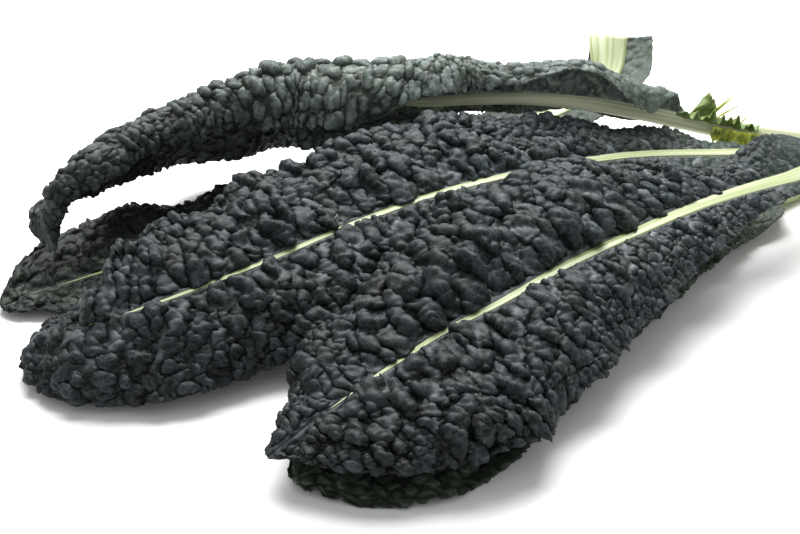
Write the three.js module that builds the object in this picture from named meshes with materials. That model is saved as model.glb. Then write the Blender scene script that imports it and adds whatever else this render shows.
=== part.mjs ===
// Lacinato kale bunch: five long blistered leaves laid down in a loose pile.
// Millimetres and degrees. +Z is up, the pile rests on z = 0, and the origin is
// on the surface under the middle of the pile. The stems point to +X and the
// leaf tips to -X.

import * as THREE from 'three';

// Blade and blisters
const BLADE_THICKNESS = 1.2;
const BLISTER_HEIGHT = 4.8;
const BLISTER_DIP = 2.2;
const BLISTER_VARIATION = 0.3;
const FULL_BLISTER_CELL = 9;
const ROWS_ALONG_LEAF = 40;
const CELLS_ACROSS_HALF = 6;
const CORNERS_PER_BLISTER = 3;
const VEIN_SLANT = 0.2;
const ROW_CROWDING_AT_TIP = 1.15;
const NARROWEST_BLADE = 1;
const FIRST_SEED = 11;

// Margin waves, and how far from the tip its outline starts to round off
const WAVE_HEIGHT = 2.5;
const WAVE_LENGTH = 58;
const TIP_ROUNDS_FROM = 0.86;
const TIP_FULLNESS = 0.985;

// Midrib: how it narrows, its section, and the gap to the blade beside it
const RIB_END_HALF_WIDTH = 0.6;
const RIB_TAPER = 1.2;
const RIB_ENDS_AT = 0.9;
const RIB_MIN_DEPTH = 1.1;
const RIB_GAP = 0.3;
const RIB_SECTION = [
  [1, -0.1], [0.88, 0.16], [0.4, 0.24], [-0.4, 0.24],
  [-0.88, 0.16], [-1, -0.1], [-0.6, -1.25], [0.6, -1.25],
];

// How the leaves settle on each other and on the surface
const STACK_GAP = 9.2;
const GRID_ROWS = 48;
const GRID_COLUMNS = 20;
const GRID_SAMPLES = 4;
const HEIGHT_CELL = 4;
const HEIGHT_REACH = 2;
const FIELD_HALF_LENGTH = 320;
const SPREAD_ROWS = 3;
const SPREAD_COLUMNS = 2;
const HELD_WIDTH = 12;
const LEVEL_VALUES = 9;
const LOWEST_SURFACE = 1.5;
const LOWEST_UPPER_FACE = 1;
const EMPTY_HEIGHT = -50;

// The stations below are set out round this point, which is moved to the origin
const PILE_CENTRE = new THREE.Vector3(46.8, 42.4, 0);

const DEGREE = Math.PI / 180;
const NEAR = 0;
const FAR = 1;

// Each leaf has stations from its cut stem to its tip. A station holds
//   x, y, z of the midrib,
//   near half: width, tilt beside the midrib, tilt at the margin,
//   far half:  width, tilt beside the midrib, tilt at the margin.
// The near half lies towards -Y. A tilt is positive where the blade rises
// going outwards. A tenth value is how far the leaf is turned about its midrib,
// for the arched leaf, which lies on its side with its near half uppermost.
// The leaves are in the order in which they were laid down.
const LEAVES = [
  {
    name: 'back_leaf',
    bladeColour: 0x3a443f,
    ribHalfWidth: 8.5,
    bladeFrom: 0,
    stations: [
      [136, 232, 58, 28, 20, 10, 11, 5, 0],
      [129, 203, 40, 30, 25, 15, 15, 12, 8],
      [88, 172, 27, 38, 8, 0, 28, 8, 0],
      [24, 132, 15, 46, 0, -6, 36, 4, -6],
      [-43, 94, 8, 52, 0, -5, 42, 4, -5],
      [-90, 64, 5, 52, 0, -4, 46, 6, 2],
      [-135, 35, 4.5, 46, 0, -4, 46, 8, 14],
      [-170, 10, 4.5, 36, 0, -4, 38, 8, 16],
      [-196, -12, 4.5, 22, 0, -4, 22, 5, 10],
    ],
  },
  {
    name: 'under_leaf',
    bladeColour: 0x46534a,
    ribHalfWidth: 6,
    bladeFrom: 0.1,
    stations: [
      [258, 136, 6.6, 8, 0, 0, 8, 0, 0],
      [226, 111, 6.2, 13, 0, 0, 13, 0, 0],
      [186, 79, 11, 21, -5, -22, 22, 0, -5],
      [150, 45, 13, 23, -5, -34, 34, 0, -10],
      [110, 5, 13, 29, -5, -32, 42, -3, -12],
      [70, -35, 11, 35, -3, -24, 48, -4, -14],
      [35, -73, 9, 42, -2, -18, 50, -4, -12],
      [-2, -109, 7, 47, 0, -14, 48, 0, -10],
      [-24, -128, 5, 41, 0, -8, 38, 0, -6],
      [-42, -141, 4, 24, 0, -3, 24, 0, -3],
    ],
  },
  {
    name: 'middle_leaf',
    bladeColour: 0x3b4540,
    ribHalfWidth: 5.5,
    bladeFrom: 0.08,
    stations: [
      [262, 134, 16, 8, 0, 0, 8, 0, 0],
      [225, 125, 24, 13, -10, -20, 11, 10, 0],
      [183, 111, 31, 26, -15, -30, 15, 25, 10],
      [126, 92, 38, 44, -15, -35, 28, 35, 10],
      [70, 66, 41, 56, -12, -38, 48, 36, 5],
      [23, 39, 42, 60, -10, -42, 62, 36, -5],
      [-20, 6, 42, 59, -10, -48, 61, 38, -15],
      [-65, -32, 40, 52, -12, -57, 60, 42, -30],
      [-104, -57, 36, 47, -16, -64, 60, 42, -35],
      [-133, -64, 29, 44, -12, -65, 60, 36, -30],
      [-153, -56, 20, 42, -5, -65, 56, 30, -20],
      [-168, -44, 11, 34, -5, -50, 42, 20, -10],
    ],
  },
  {
    name: 'front_leaf',
    bladeColour: 0x353e44,
    ribHalfWidth: 6.8,
    bladeFrom: 0.12,
    stations: [
      [288, 142, 22, 9, 0, 0, 9, 0, 0],
      [250, 103, 30, 10, -5, -20, 24, 45, 30],
      [216, 71, 36, 12, -10, -30, 30, 48, 20],
      [180, 47, 39, 16, -8, -40, 29, 40, -25],
      [145, 21, 41, 25, -4, -45, 50, 48, -25],
      [105, -12, 42, 38, 0, -50, 72, 54, -30],
      [73, -38, 41, 48, 4, -54, 72, 52, -30],
      [44, -64, 39, 57, 5, -56, 67, 48, -31],
      [17, -86, 37, 67, 5, -58, 54, 36, -45],
      [-4, -104, 32, 66, 5, -60, 50, 28, -45],
      [-22, -119, 25, 56, 0, -60, 46, 20, -50],
      [-38, -131, 17, 44, -5, -60, 38, 10, -50],
      [-52, -139, 8, 24, -10, -50, 24, 0, -50],
    ],
  },
  {
    name: 'arched_leaf',
    bladeColour: 0x4a564e,
    ribHalfWidth: 6.5,
    bladeFrom: 0.17,
    stations: [
      [262, 160, 14, 8, 0, 0, 8, 0, 0, 70],
      [223, 149, 24, 8, 0, 0, 8, 0, 0, 70],
      [197, 146, 30, 12, 30, -20, 8, 0, 0, 70],
      [170, 143, 37, 21, 40, -110, 8, -10, -10, 70],
      [140, 140, 45, 40, 45, -160, 8, -10, -20, 70],
      [107, 142, 50, 46, 50, -90, 8, -10, -20, 70],
      [69, 144, 52, 48, 50, -130, 12, -10, -20, 70],
      [38, 150, 49, 62, 50, -130, 16, -10, -20, 70],
      [12, 149, 48, 70, 45, -135, 24, -10, -25, 70],
      [-30, 147, 55, 76, 25, -165, 50, -15, -25, 65],
      [-71, 144, 61, 73, 15, -165, 57, -10, -22, 60],
      [-115, 122, 57, 52, 15, -165, 52, -10, -25, 60],
      [-145, 91, 54, 43, 15, -165, 48, -15, -30, 60],
      [-167, 57, 52, 37, 15, -160, 44, -20, -35, 60],
      [-179, 38, 44, 31, 15, -150, 38, -20, -40, 55],
      [-182, 27, 34, 25, 15, -140, 30, -20, -45, 50],
      [-177, 18, 18, 19, 10, -120, 19, -15, -40, 45],
    ],
  },
];

// The torn yellowing frills that are left on the arched leaf's stalk
const FRILL_COLOUR = 0xb9c46a;
const FRILL_ROWS = 15;
const FRILL_GAP = 0.9;
const FRILL_FOLD = 3.2;
const FRILL_FOLD_LENGTH = 11;
const FRILL_END_WIDTH = 0.45;
const FRILL_NOTCH = 0.72;
const FRILL_NOTCH_EVERY = 3;
const FRILLS = [
  { name: 'arched_leaf_upper_frill', side: NEAR, from: 0.085, to: 0.165, width: 11, tilt: 35 },
  { name: 'arched_leaf_lower_frill', side: FAR, from: 0.085, to: 0.165, width: 12, tilt: -50 },
];

// Small helpers

function clamp(value, low, high) {
  return Math.min(high, Math.max(low, value));
}

function mix(a, b, t) {
  return a + (b - a) * t;
}

// The same draws every time
function seededRandom(seed) {
  let state = seed;
  return function draw() {
    state = (Math.imul(state, 1664525) + 1013904223) >>> 0;
    return state / 4294967296;
  };
}

// Leaf surface

// Places of the stations along the leaf, from 0 at the cut stem to 1 at the tip
function stationPlaces(stations) {
  const places = [0];
  for (let i = 1; i < stations.length; i += 1) {
    const [x0, y0, z0] = stations[i - 1];
    const [x1, y1, z1] = stations[i];
    places.push(places[i - 1] + Math.hypot(x1 - x0, y1 - y0, z1 - z0));
  }
  const length = places[places.length - 1];
  return { length, places: places.map((place) => place / length) };
}

// A smooth curve through the stations' values
function blendStations(leaf, s) {
  const { places } = leaf;
  const rows = leaf.stations;
  const last = rows.length - 1;
  let k = 0;
  while (k < last - 1 && s > places[k + 1]) k += 1;
  const span = places[k + 1] - places[k];
  const t = (s - places[k]) / span;
  const slope = (i, n) => {
    const a = Math.max(0, i - 1);
    const b = Math.min(last, i + 1);
    return (rows[b][n] - rows[a][n]) / (places[b] - places[a]);
  };
  const startWeight = 2 * t ** 3 - 3 * t ** 2 + 1;
  const startSlopeWeight = (t ** 3 - 2 * t ** 2 + t) * span;
  const endSlopeWeight = (t ** 3 - t ** 2) * span;
  return rows[k].map((start, n) => (
    startWeight * start + startSlopeWeight * slope(k, n)
    + (1 - startWeight) * rows[k + 1][n] + endSlopeWeight * slope(k + 1, n)));
}

function ribHalfWidth(leaf, s) {
  return (leaf.ribHalfWidth - RIB_END_HALF_WIDTH) * (1 - s) ** RIB_TAPER + RIB_END_HALF_WIDTH;
}

// Midrib point and the directions along it, to the near side and upwards
function ribFrame(leaf, s) {
  const step = 0.004;
  const before = blendStations(leaf, Math.max(0, s - step));
  const after = blendStations(leaf, Math.min(1, s + step));
  const values = blendStations(leaf, s);
  const along = new THREE.Vector3(
    after[0] - before[0],
    after[1] - before[1],
    after[2] - before[2],
  ).normalize();
  const side = new THREE.Vector3(0, 0, 1).cross(along).normalize();
  side.applyAxisAngle(along, (values[9] ?? 0) * DEGREE);
  const up = along.clone().cross(side);
  return { rib: new THREE.Vector3(values[0], values[1], values[2]), side, up, values };
}

// The outline closes towards the tip as an ellipse does
function tipRounding(s) {
  const k = clamp((s - TIP_ROUNDS_FROM) / (1 - TIP_ROUNDS_FROM), 0, 1) * TIP_FULLNESS;
  return Math.sqrt(1 - k * k);
}

// A blade half is an arc across the leaf: it starts beside the midrib at one
// tilt and turns evenly to the tilt at the margin.
function arcPoint(frame, which, start, distance, width, tiltIn, tiltOut) {
  const turn = (tiltOut - tiltIn) * DEGREE;
  const bend = (Math.abs(turn) < 1e-4 ? 1e-4 : turn) / width;
  const tilt = tiltIn * DEGREE + bend * distance;
  const out = start + (Math.sin(tilt) - Math.sin(tiltIn * DEGREE)) / bend;
  const rise = (Math.cos(tiltIn * DEGREE) - Math.cos(tilt)) / bend;
  const sign = which === NEAR ? 1 : -1;
  const point = frame.rib.clone()
    .addScaledVector(frame.side, sign * out)
    .addScaledVector(frame.up, rise);
  const normal = frame.up.clone().multiplyScalar(Math.cos(tilt))
    .addScaledVector(frame.side, -sign * Math.sin(tilt));
  return { point, normal };
}

// Point and normal of the smooth leaf, where v runs from -1 at the near margin
// through 0 at the midrib to 1 at the far margin
function smoothLeaf(leaf, s, v) {
  const frame = ribFrame(leaf, s);
  const which = v < 0 ? NEAR : FAR;
  const [width, tiltIn, tiltOut] = frame.values.slice(3 + 3 * which, 6 + 3 * which);
  const ribEdge = ribHalfWidth(leaf, s) * tipRounding(s);
  const blade = Math.max(width * tipRounding(s) - ribEdge, 0.5);
  const reach = Math.abs(v);
  const start = Math.min(reach * (ribEdge + blade), ribEdge);
  const distance = Math.max(0, reach * (ribEdge + blade) - ribEdge);
  const result = arcPoint(frame, which, start, distance, blade, tiltIn, tiltOut);
  const phase = 2 * Math.PI * (s * leaf.length / WAVE_LENGTH) + which * 2;
  const wave = WAVE_HEIGHT * reach ** 3 * tipRounding(s) * Math.sin(phase);
  result.point.addScaledVector(result.normal, wave);
  return result;
}

// Settling

const FIELD_SIZE = Math.round(2 * FIELD_HALF_LENGTH / HEIGHT_CELL);

function fieldCell(coordinate) {
  return clamp(Math.round((coordinate + FIELD_HALF_LENGTH) / HEIGHT_CELL), 0, FIELD_SIZE - 1);
}

// Points of a leaf's grid, with extra samples between the grid's own points
function gridPoints(grid) {
  const rows = GRID_ROWS * GRID_SAMPLES;
  const columns = GRID_COLUMNS * GRID_SAMPLES;
  const points = [];
  for (let i = 0; i <= rows; i += 1) {
    const row = Math.min(Math.floor(i / GRID_SAMPLES), GRID_ROWS - 1);
    const a = i / GRID_SAMPLES - row;
    for (let j = 0; j <= columns; j += 1) {
      const column = Math.min(Math.floor(j / GRID_SAMPLES), GRID_COLUMNS - 1);
      const b = j / GRID_SAMPLES - column;
      const lower = grid[row][column].clone().lerp(grid[row][column + 1], b);
      const upper = grid[row + 1][column].clone().lerp(grid[row + 1][column + 1], b);
      points.push({ i, j, point: lower.lerp(upper, a) });
    }
  }
  return points;
}

// Raises the height field to a leaf that has settled
function layDown(field, grid) {
  gridPoints(grid).forEach(({ point }) => {
    const cx = fieldCell(point.x);
    const cy = fieldCell(point.y);
    for (let dx = -HEIGHT_REACH; dx <= HEIGHT_REACH; dx += 1) {
      for (let dy = -HEIGHT_REACH; dy <= HEIGHT_REACH; dy += 1) {
        if (dx * dx + dy * dy > HEIGHT_REACH * HEIGHT_REACH + 1) continue;
        const x = clamp(cx + dx, 0, FIELD_SIZE - 1);
        const y = clamp(cy + dy, 0, FIELD_SIZE - 1);
        field[x][y] = Math.max(field[x][y], point.z);
      }
    }
  });
}

// Runs a small window over a table of numbers and joins what it sees
function window2d(table, join) {
  return table.map((row, i) => row.map((_, j) => {
    const seen = [];
    for (let di = -SPREAD_ROWS; di <= SPREAD_ROWS; di += 1) {
      for (let dj = -SPREAD_COLUMNS; dj <= SPREAD_COLUMNS; dj += 1) {
        const r = clamp(i + di, 0, table.length - 1);
        const c = clamp(j + dj, 0, row.length - 1);
        seen.push(table[r][c]);
      }
    }
    return join(seen);
  }));
}

// How far each grid point must rise to clear the leaves below, spread smoothly
function liftTable(field, grid) {
  const need = grid.map((row) => row.map(() => 0));
  const half = GRID_SAMPLES / 2;
  gridPoints(grid).forEach(({ i, j, point }) => {
    const below = field[fieldCell(point.x)][fieldCell(point.y)];
    const rise = Math.max(0, below + STACK_GAP - point.z);
    if (rise === 0) return;
    const rows = [Math.floor((i + half) / GRID_SAMPLES), Math.ceil((i - half) / GRID_SAMPLES)];
    const columns = [Math.floor((j + half) / GRID_SAMPLES), Math.ceil((j - half) / GRID_SAMPLES)];
    rows.forEach((r) => columns.forEach((c) => {
      const row = clamp(r, 0, GRID_ROWS);
      const column = clamp(c, 0, GRID_COLUMNS);
      need[row][column] = Math.max(need[row][column], rise);
    }));
  });
  const spread = window2d(need, (seen) => Math.max(...seen));
  return window2d(spread, (seen) => seen.reduce((sum, value) => sum + value, 0) / seen.length);
}

// A leaf that lies on its side is lifted beside its midrib as its midrib is
function holdBesideRib(leaf, lift) {
  if (leaf.stations[0].length === LEVEL_VALUES) return lift;
  return lift.map((row, i) => row.map((value, j) => {
    const s = i / GRID_ROWS;
    const v = 2 * j / GRID_COLUMNS - 1;
    const width = blendStations(leaf, s)[v < 0 ? 3 : 6] * tipRounding(s);
    const beyondRib = Math.abs(v) * width - ribHalfWidth(leaf, s);
    return mix(row[GRID_COLUMNS / 2], value, clamp(beyondRib / HELD_WIDTH, 0, 1));
  }));
}

function settleLeaves() {
  const field = Array.from({ length: FIELD_SIZE }, () => (
    new Float64Array(FIELD_SIZE).fill(EMPTY_HEIGHT)));
  LEAVES.forEach((leaf) => {
    Object.assign(leaf, stationPlaces(leaf.stations));
    const grid = [];
    for (let i = 0; i <= GRID_ROWS; i += 1) {
      const row = [];
      for (let j = 0; j <= GRID_COLUMNS; j += 1) {
        const v = 2 * j / GRID_COLUMNS - 1;
        row.push(smoothLeaf(leaf, i / GRID_ROWS, v).point);
      }
      grid.push(row);
    }
    leaf.lift = holdBesideRib(leaf, liftTable(field, grid));
    grid.forEach((row, i) => row.forEach((point, j) => {
      point.z = Math.max(point.z + leaf.lift[i][j], LOWEST_SURFACE);
    }));
    layDown(field, grid);
  });
}

// The lift of any point of a settled leaf
function liftAt(leaf, s, v) {
  const a = clamp(s, 0, 1) * GRID_ROWS;
  const b = clamp((v + 1) / 2, 0, 1) * GRID_COLUMNS;
  const i = Math.min(Math.floor(a), GRID_ROWS - 1);
  const j = Math.min(Math.floor(b), GRID_COLUMNS - 1);
  const lower = mix(leaf.lift[i][j], leaf.lift[i][j + 1], b - j);
  const upper = mix(leaf.lift[i + 1][j], leaf.lift[i + 1][j + 1], b - j);
  return mix(lower, upper, a - i);
}

// Bodies

// Collects corners and faces of one closed body
class Body {
  constructor() {
    this.corners = [];
    this.faces = [];
  }

  // Nothing reaches below the surface that the pile rests on
  corner(point, lowest = 0) {
    this.corners.push(point.x - PILE_CENTRE.x, point.y - PILE_CENTRE.y, Math.max(point.z, lowest));
    return this.corners.length / 3 - 1;
  }

  triangle(a, b, c) {
    this.faces.push(a, b, c);
  }

  // Two triangles, split from the second corner to the fourth
  quad(a, b, c, d) {
    this.triangle(a, b, d);
    this.triangle(b, c, d);
  }

  mesh(name, colour, roughness) {
    const geometry = new THREE.BufferGeometry();
    geometry.setAttribute('position', new THREE.Float32BufferAttribute(this.corners, 3));
    geometry.setIndex(this.faces);
    geometry.computeVertexNormals();
    const material = new THREE.MeshStandardMaterial({ color: colour, roughness, metalness: 0 });
    const mesh = new THREE.Mesh(geometry, material);
    mesh.name = name;
    return mesh;
  }
}

// Places of the rows, closer together towards the tip
function rowPlace(leaf, row) {
  const t = row / ROWS_ALONG_LEAF;
  return mix(leaf.bladeFrom, 1, 1 - (1 - t) ** ROW_CROWDING_AT_TIP);
}

function lastRibRow(leaf) {
  let row = 0;
  while (rowPlace(leaf, row + 1) < RIB_ENDS_AT) row += 1;
  return row;
}

// Every third corner is the top of a blister, and the six round it are its foot
function isBlisterTop(row, column) {
  return (row + (CORNERS_PER_BLISTER - 1) * column) % CORNERS_PER_BLISTER === 0;
}

// Adds the upper and lower corner of one place on a blade half
function bladeCorner(body, leaf, draw, row, column, which) {
  const s = rowPlace(leaf, row);
  const across = column / CELLS_ACROSS_HALF;
  const slanted = s + VEIN_SLANT * across * (s - leaf.bladeFrom) * (1 - s);
  const sign = which === NEAR ? -1 : 1;
  const frame = ribFrame(leaf, slanted);
  const width = frame.values[3 + 3 * which] * tipRounding(slanted);
  const ribEdge = row <= lastRibRow(leaf)
    ? Math.min(ribHalfWidth(leaf, slanted) + RIB_GAP, width - NARROWEST_BLADE) : 0;
  const y = mix(ribEdge, width, across);
  const v = sign * clamp(y / width, 1e-6, 1);
  const { point, normal } = smoothLeaf(leaf, slanted, v);
  point.z += liftAt(leaf, slanted, v);
  const inner = column === 0;
  const cell = (width - ribEdge) / CELLS_ACROSS_HALF;
  const size = Math.min(1, cell / FULL_BLISTER_CELL);
  const variation = 1 + BLISTER_VARIATION * (2 * draw() - 1);
  const relief = isBlisterTop(row, column) ? BLISTER_HEIGHT : -BLISTER_DIP;
  if (!inner) point.addScaledVector(normal, relief * size * variation);
  const lower = point.clone().addScaledVector(inner ? frame.up : normal, -BLADE_THICKNESS);
  return { top: body.corner(point, LOWEST_UPPER_FACE), bottom: body.corner(lower) };
}

// One blade: two halves beside the midrib that join beyond the midrib's end
function buildBlade(leaf, seed) {
  const body = new Body();
  const draw = seededRandom(seed);
  const ribRow = lastRibRow(leaf);
  const halves = [NEAR, FAR].map((which) => {
    const rows = [];
    for (let row = 0; row <= ROWS_ALONG_LEAF; row += 1) {
      const corners = [];
      for (let column = 0; column <= CELLS_ACROSS_HALF; column += 1) {
        corners.push(bladeCorner(body, leaf, draw, row, column, which));
      }
      rows.push(corners);
    }
    return rows;
  });
  const [near, far] = halves;
  for (let row = ribRow + 1; row <= ROWS_ALONG_LEAF; row += 1) {
    far[row][0] = near[row][0];
  }
  halves.forEach((rows, which) => addSheetFaces(body, rows, which, ribRow + 1));
  return body;
}

// Faces of a closed sheet: both sides alike, the margin, both ends, and the
// inner edge as far as it stands open
function addSheetFaces(body, rows, which, openRows) {
  const face = (a, b, c, d) => (which === FAR ? body.quad(a, b, c, d) : body.quad(b, a, d, c));
  const lastRow = rows.length - 1;
  const lastColumn = rows[0].length - 1;
  for (let row = 0; row < lastRow; row += 1) {
    for (let column = 0; column < lastColumn; column += 1) {
      addSheetQuad(body, which, rows[row][column], rows[row][column + 1],
        rows[row + 1][column + 1], rows[row + 1][column]);
    }
    const outer = rows[row][lastColumn];
    const nextOuter = rows[row + 1][lastColumn];
    face(outer.top, outer.bottom, nextOuter.bottom, nextOuter.top);
    if (row < openRows) {
      const inner = rows[row][0];
      const nextInner = rows[row + 1][0];
      face(nextInner.top, nextInner.bottom, inner.bottom, inner.top);
    }
  }
  for (let column = 0; column < lastColumn; column += 1) {
    const a = rows[0][column];
    const b = rows[0][column + 1];
    face(a.top, a.bottom, b.bottom, b.top);
    const c = rows[lastRow][column];
    const d = rows[lastRow][column + 1];
    face(d.top, d.bottom, c.bottom, c.top);
  }
}

// The upper and the lower face of one cell, split along the same diagonal
function addSheetQuad(body, which, a, b, c, d) {
  const triangles = [[a, b, d], [b, c, d]];
  triangles.forEach(([p, q, r]) => {
    if (which === FAR) {
      body.triangle(p.top, q.top, r.top);
      body.triangle(p.bottom, r.bottom, q.bottom);
    } else {
      body.triangle(p.top, r.top, q.top);
      body.triangle(p.bottom, q.bottom, r.bottom);
    }
  });
}

// A tapered bar through sections, closed at both ends
function loft(body, sections) {
  const count = sections[0].length;
  const rings = sections.map((section) => section.map((point) => body.corner(point)));
  for (let i = 0; i + 1 < rings.length; i += 1) {
    for (let j = 0; j < count; j += 1) {
      const next = (j + 1) % count;
      body.quad(rings[i][j], rings[i][next], rings[i + 1][next], rings[i + 1][j]);
    }
  }
  const first = rings[0];
  const last = rings[rings.length - 1];
  for (let j = 1; j + 1 < count; j += 1) {
    body.triangle(first[0], first[j + 1], first[j]);
    body.triangle(last[0], last[j], last[j + 1]);
  }
}

// The stalk and midrib in one: round below, nearly flat on top
function buildRib(leaf) {
  const body = new Body();
  const stalkRows = Math.ceil(leaf.bladeFrom * ROWS_ALONG_LEAF);
  const places = [];
  for (let i = 0; i < stalkRows; i += 1) {
    places.push(leaf.bladeFrom * i / stalkRows);
  }
  for (let row = 0; row <= lastRibRow(leaf); row += 1) {
    places.push(rowPlace(leaf, row));
  }
  const sections = places.map((s) => {
    const frame = ribFrame(leaf, s);
    const half = ribHalfWidth(leaf, s);
    const depth = Math.max(half, RIB_MIN_DEPTH);
    frame.rib.z += liftAt(leaf, s, 0);
    return RIB_SECTION.map(([out, rise]) => frame.rib.clone()
      .addScaledVector(frame.side, out * half)
      .addScaledVector(frame.up, rise * depth));
  });
  loft(body, sections);
  return body;
}

// A torn frill beside the bare stalk: a short ribbon in tight folds
function buildFrill(leaf, frill) {
  const body = new Body();
  const rows = [];
  for (let row = 0; row <= FRILL_ROWS; row += 1) {
    const t = row / FRILL_ROWS;
    const s = mix(frill.from, frill.to, t);
    const frame = ribFrame(leaf, s);
    const start = ribHalfWidth(leaf, s) + FRILL_GAP;
    const tapering = mix(FRILL_END_WIDTH, 1, Math.sin(Math.PI * t));
    const notch = row % FRILL_NOTCH_EVERY === 1 ? FRILL_NOTCH : 1;
    const width = frill.width * tapering * notch;
    const fold = FRILL_FOLD * Math.sin(2 * Math.PI * s * leaf.length / FRILL_FOLD_LENGTH);
    const corners = [0, 0.5, 1].map((across) => {
      const distance = across * width;
      const { point, normal } = arcPoint(frame, frill.side, start, distance, width, frill.tilt, 0);
      point.z += liftAt(leaf, s, 0);
      point.addScaledVector(normal, fold * across);
      const lower = point.clone().addScaledVector(frame.up, -BLADE_THICKNESS);
      return { top: body.corner(point), bottom: body.corner(lower) };
    });
    rows.push(corners);
  }
  addSheetFaces(body, rows, frill.side, FRILL_ROWS);
  return body;
}

// The bunch

const RIB_COLOUR = 0xccd3a8;
const BLADE_ROUGHNESS = 0.55;
const RIB_ROUGHNESS = 0.45;

const bunch = new THREE.Group();
bunch.name = 'lacinato_kale_bunch';
settleLeaves();
LEAVES.forEach((leaf, index) => {
  const blade = buildBlade(leaf, FIRST_SEED + index);
  const rib = buildRib(leaf);
  bunch.add(blade.mesh(`${leaf.name}_blade`, leaf.bladeColour, BLADE_ROUGHNESS));
  bunch.add(rib.mesh(`${leaf.name}_rib`, RIB_COLOUR, RIB_ROUGHNESS));
});
const archedLeaf = LEAVES[LEAVES.length - 1];
FRILLS.forEach((frill) => {
  bunch.add(buildFrill(archedLeaf, frill).mesh(frill.name, FRILL_COLOUR, BLADE_ROUGHNESS));
});

export default bunch;
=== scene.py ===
"""Lacinato kale bunch: dresses five plain leaves with blistered blades, grooved midribs and torn frills.

Shapes are worked out in millimetres round the leaves' stations and written to meshes in metres, in the
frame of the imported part.
"""

import math

import bpy
import numpy as np
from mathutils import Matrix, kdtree


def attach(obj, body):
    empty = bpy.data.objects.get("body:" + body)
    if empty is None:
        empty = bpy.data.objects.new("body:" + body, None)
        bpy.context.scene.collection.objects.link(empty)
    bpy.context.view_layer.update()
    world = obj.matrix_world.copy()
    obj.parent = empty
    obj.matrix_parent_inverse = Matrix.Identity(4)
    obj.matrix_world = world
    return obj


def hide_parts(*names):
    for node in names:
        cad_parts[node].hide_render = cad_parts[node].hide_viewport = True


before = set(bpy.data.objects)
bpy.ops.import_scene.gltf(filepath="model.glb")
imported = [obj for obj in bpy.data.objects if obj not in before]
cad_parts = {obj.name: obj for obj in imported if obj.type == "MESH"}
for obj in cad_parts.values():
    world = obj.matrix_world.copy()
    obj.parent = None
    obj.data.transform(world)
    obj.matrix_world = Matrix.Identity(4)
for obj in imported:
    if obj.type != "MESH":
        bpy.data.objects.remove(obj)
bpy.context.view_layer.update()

bl_info = {
    "name": "Lacinato kale bunch",
    "version": (1, 0, 0),
    "blender": (4, 5, 0),
    "location": "View3D > Sidebar > Kale",
    "description": "Builds the blistered leaves of a loose bunch of lacinato kale",
    "category": "Object",
}

MM = 0.001
MERGE_DISTANCE = 0.00001
BODY = "root"
SENSOR_WIDTH = 36
WHITE = (1, 1, 1, 1)

# Halves of a leaf: the near one lies towards -Y, the far one towards +Y
NEAR = 0
FAR = 1

# Each leaf has stations from its cut stem to its tip. A station holds
#   x, y, z of the midrib,
#   near half: width, tilt beside the midrib, tilt at the margin,
#   far half:  width, tilt beside the midrib, tilt at the margin,
#   and for the arched leaf, which lies on its side, how far it is turned about its midrib.
# Millimetres and degrees. The leaves are in the order in which they were laid down.
BACK_STATIONS = [
    (136, 232, 58, 28, 20, 10, 11, 5, 0),
    (129, 203, 40, 30, 25, 15, 15, 12, 8),
    (88, 172, 27, 38, 8, 0, 28, 8, 0),
    (24, 132, 15, 46, 0, -6, 36, 4, -6),
    (-43, 94, 8, 52, 0, -5, 42, 4, -5),
    (-90, 64, 5, 52, 0, -4, 46, 6, 2),
    (-135, 35, 4.5, 46, 0, -4, 46, 8, 14),
    (-170, 10, 4.5, 36, 0, -4, 38, 8, 16),
    (-196, -12, 4.5, 22, 0, -4, 22, 5, 10),
]
UNDER_STATIONS = [
    (258, 136, 6.6, 8, 0, 0, 8, 0, 0),
    (226, 111, 6.2, 13, 0, 0, 13, 0, 0),
    (186, 79, 11, 21, -5, -22, 22, 0, -5),
    (150, 45, 13, 23, -5, -34, 34, 0, -10),
    (110, 5, 13, 29, -5, -32, 42, -3, -12),
    (70, -35, 11, 35, -3, -24, 48, -4, -14),
    (35, -73, 9, 42, -2, -18, 50, -4, -12),
    (-2, -109, 7, 47, 0, -14, 48, 0, -10),
    (-24, -128, 5, 41, 0, -8, 38, 0, -6),
    (-42, -141, 4, 24, 0, -3, 24, 0, -3),
]
MIDDLE_STATIONS = [
    (262, 134, 16, 8, 0, 0, 8, 0, 0),
    (225, 125, 24, 13, -10, -20, 11, 10, 0),
    (183, 111, 31, 26, -15, -30, 15, 25, 10),
    (126, 92, 38, 44, -15, -35, 28, 35, 10),
    (70, 66, 41, 56, -12, -38, 48, 36, 5),
    (23, 39, 42, 60, -10, -42, 62, 36, -5),
    (-20, 6, 42, 59, -10, -48, 61, 38, -15),
    (-65, -32, 40, 52, -12, -57, 60, 42, -30),
    (-104, -57, 36, 47, -16, -64, 60, 42, -35),
    (-133, -64, 29, 44, -12, -65, 60, 36, -30),
    (-153, -56, 20, 42, -5, -65, 56, 30, -20),
    (-168, -44, 11, 34, -5, -50, 42, 20, -10),
]
FRONT_STATIONS = [
    (288, 142, 22, 9, 0, 0, 9, 0, 0),
    (250, 103, 30, 10, -5, -20, 24, 45, 30),
    (216, 71, 36, 12, -10, -30, 30, 48, 20),
    (180, 47, 39, 16, -8, -40, 29, 40, -25),
    (145, 21, 41, 25, -4, -45, 50, 48, -25),
    (105, -12, 42, 38, 0, -50, 72, 54, -30),
    (73, -38, 41, 48, 4, -54, 72, 52, -30),
    (44, -64, 39, 57, 5, -56, 67, 48, -31),
    (17, -86, 37, 67, 5, -58, 54, 36, -45),
    (-4, -104, 32, 66, 5, -60, 50, 28, -45),
    (-22, -119, 25, 56, 0, -60, 46, 20, -50),
    (-38, -131, 17, 44, -5, -60, 38, 10, -50),
    (-52, -139, 8, 24, -10, -50, 24, 0, -50),
]
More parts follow.
